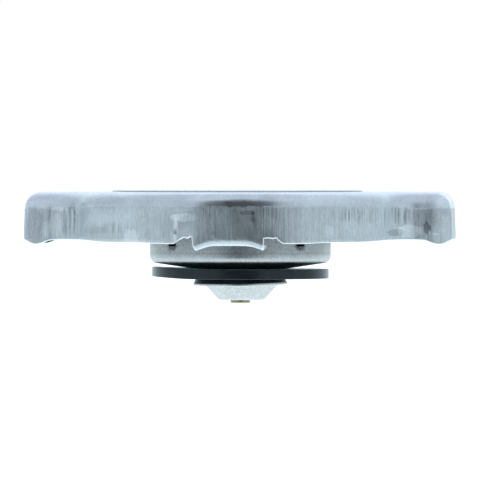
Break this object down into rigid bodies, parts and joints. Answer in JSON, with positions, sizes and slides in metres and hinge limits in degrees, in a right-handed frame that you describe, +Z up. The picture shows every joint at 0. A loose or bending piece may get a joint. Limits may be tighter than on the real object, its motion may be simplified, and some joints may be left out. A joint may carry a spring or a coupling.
{
  "type": "radiator cap",
  "caption": "Bayonet radiator cap: drawn steel shell with opposed grip ears and folded locking lugs over a sprung pressure valve and a small vacuum valve.",
  "frame": {"origin": "on the cap's axis, in the plane of the filler neck's upper rim, which is the underside of the neck gasket", "axes": "+Z up through the crown, +X along the ears, +Y through a locking lug"},
  "size_m": [0.0634, 0.0504, 0.0166],
  "materials": {
    "shell_steel": "bright blue-white zinc plating with draw marks",
    "label_film": "bare satin film",
    "rivet_steel": "zinc plated",
    "spring_steel": "bright spring steel",
    "rubber": "moulded, smooth black",
    "valve_steel": "drawn bright steel",
    "dish_steel": "bright plated",
    "stem_brass": "turned brass"
  },
  "bodies": {
    "shell": {"cap_shell": "shell_steel", "label_disc": "label_film"},
    "inner": {"center_rivet": "rivet_steel", "spring_disc": "spring_steel", "neck_gasket": "rubber", "spring_holder": "valve_steel", "pressure_spring": "spring_steel"},
    "pressure_valve": {"valve_cup": "valve_steel", "pressure_gasket": "rubber", "vacuum_spring": "spring_steel"},
    "vacuum_valve": {"vacuum_stem": "stem_brass", "vacuum_dish": "dish_steel"}
  },
  "joints": [
    {"name": "shell_swivel", "type": "hinge", "parent": "shell", "child": "inner", "pos_m": [0, 0, 0], "axis": [0, 0, 1], "continuous": true},
    {"name": "pressure_lift", "type": "slide", "parent": "inner", "child": "pressure_valve", "axis": [0, 0, 1], "range_m": [0, 0.002], "stiffness_N_per_m": 6000, "springref_m": -0.006, "deforming": ["pressure_spring"]},
    {"name": "vacuum_drop", "type": "slide", "parent": "pressure_valve", "child": "vacuum_valve", "axis": [0, 0, -1], "range_m": [0, 0.001], "stiffness_N_per_m": 300, "springref_m": -0.0015, "deforming": ["vacuum_spring"]}
  ]
}
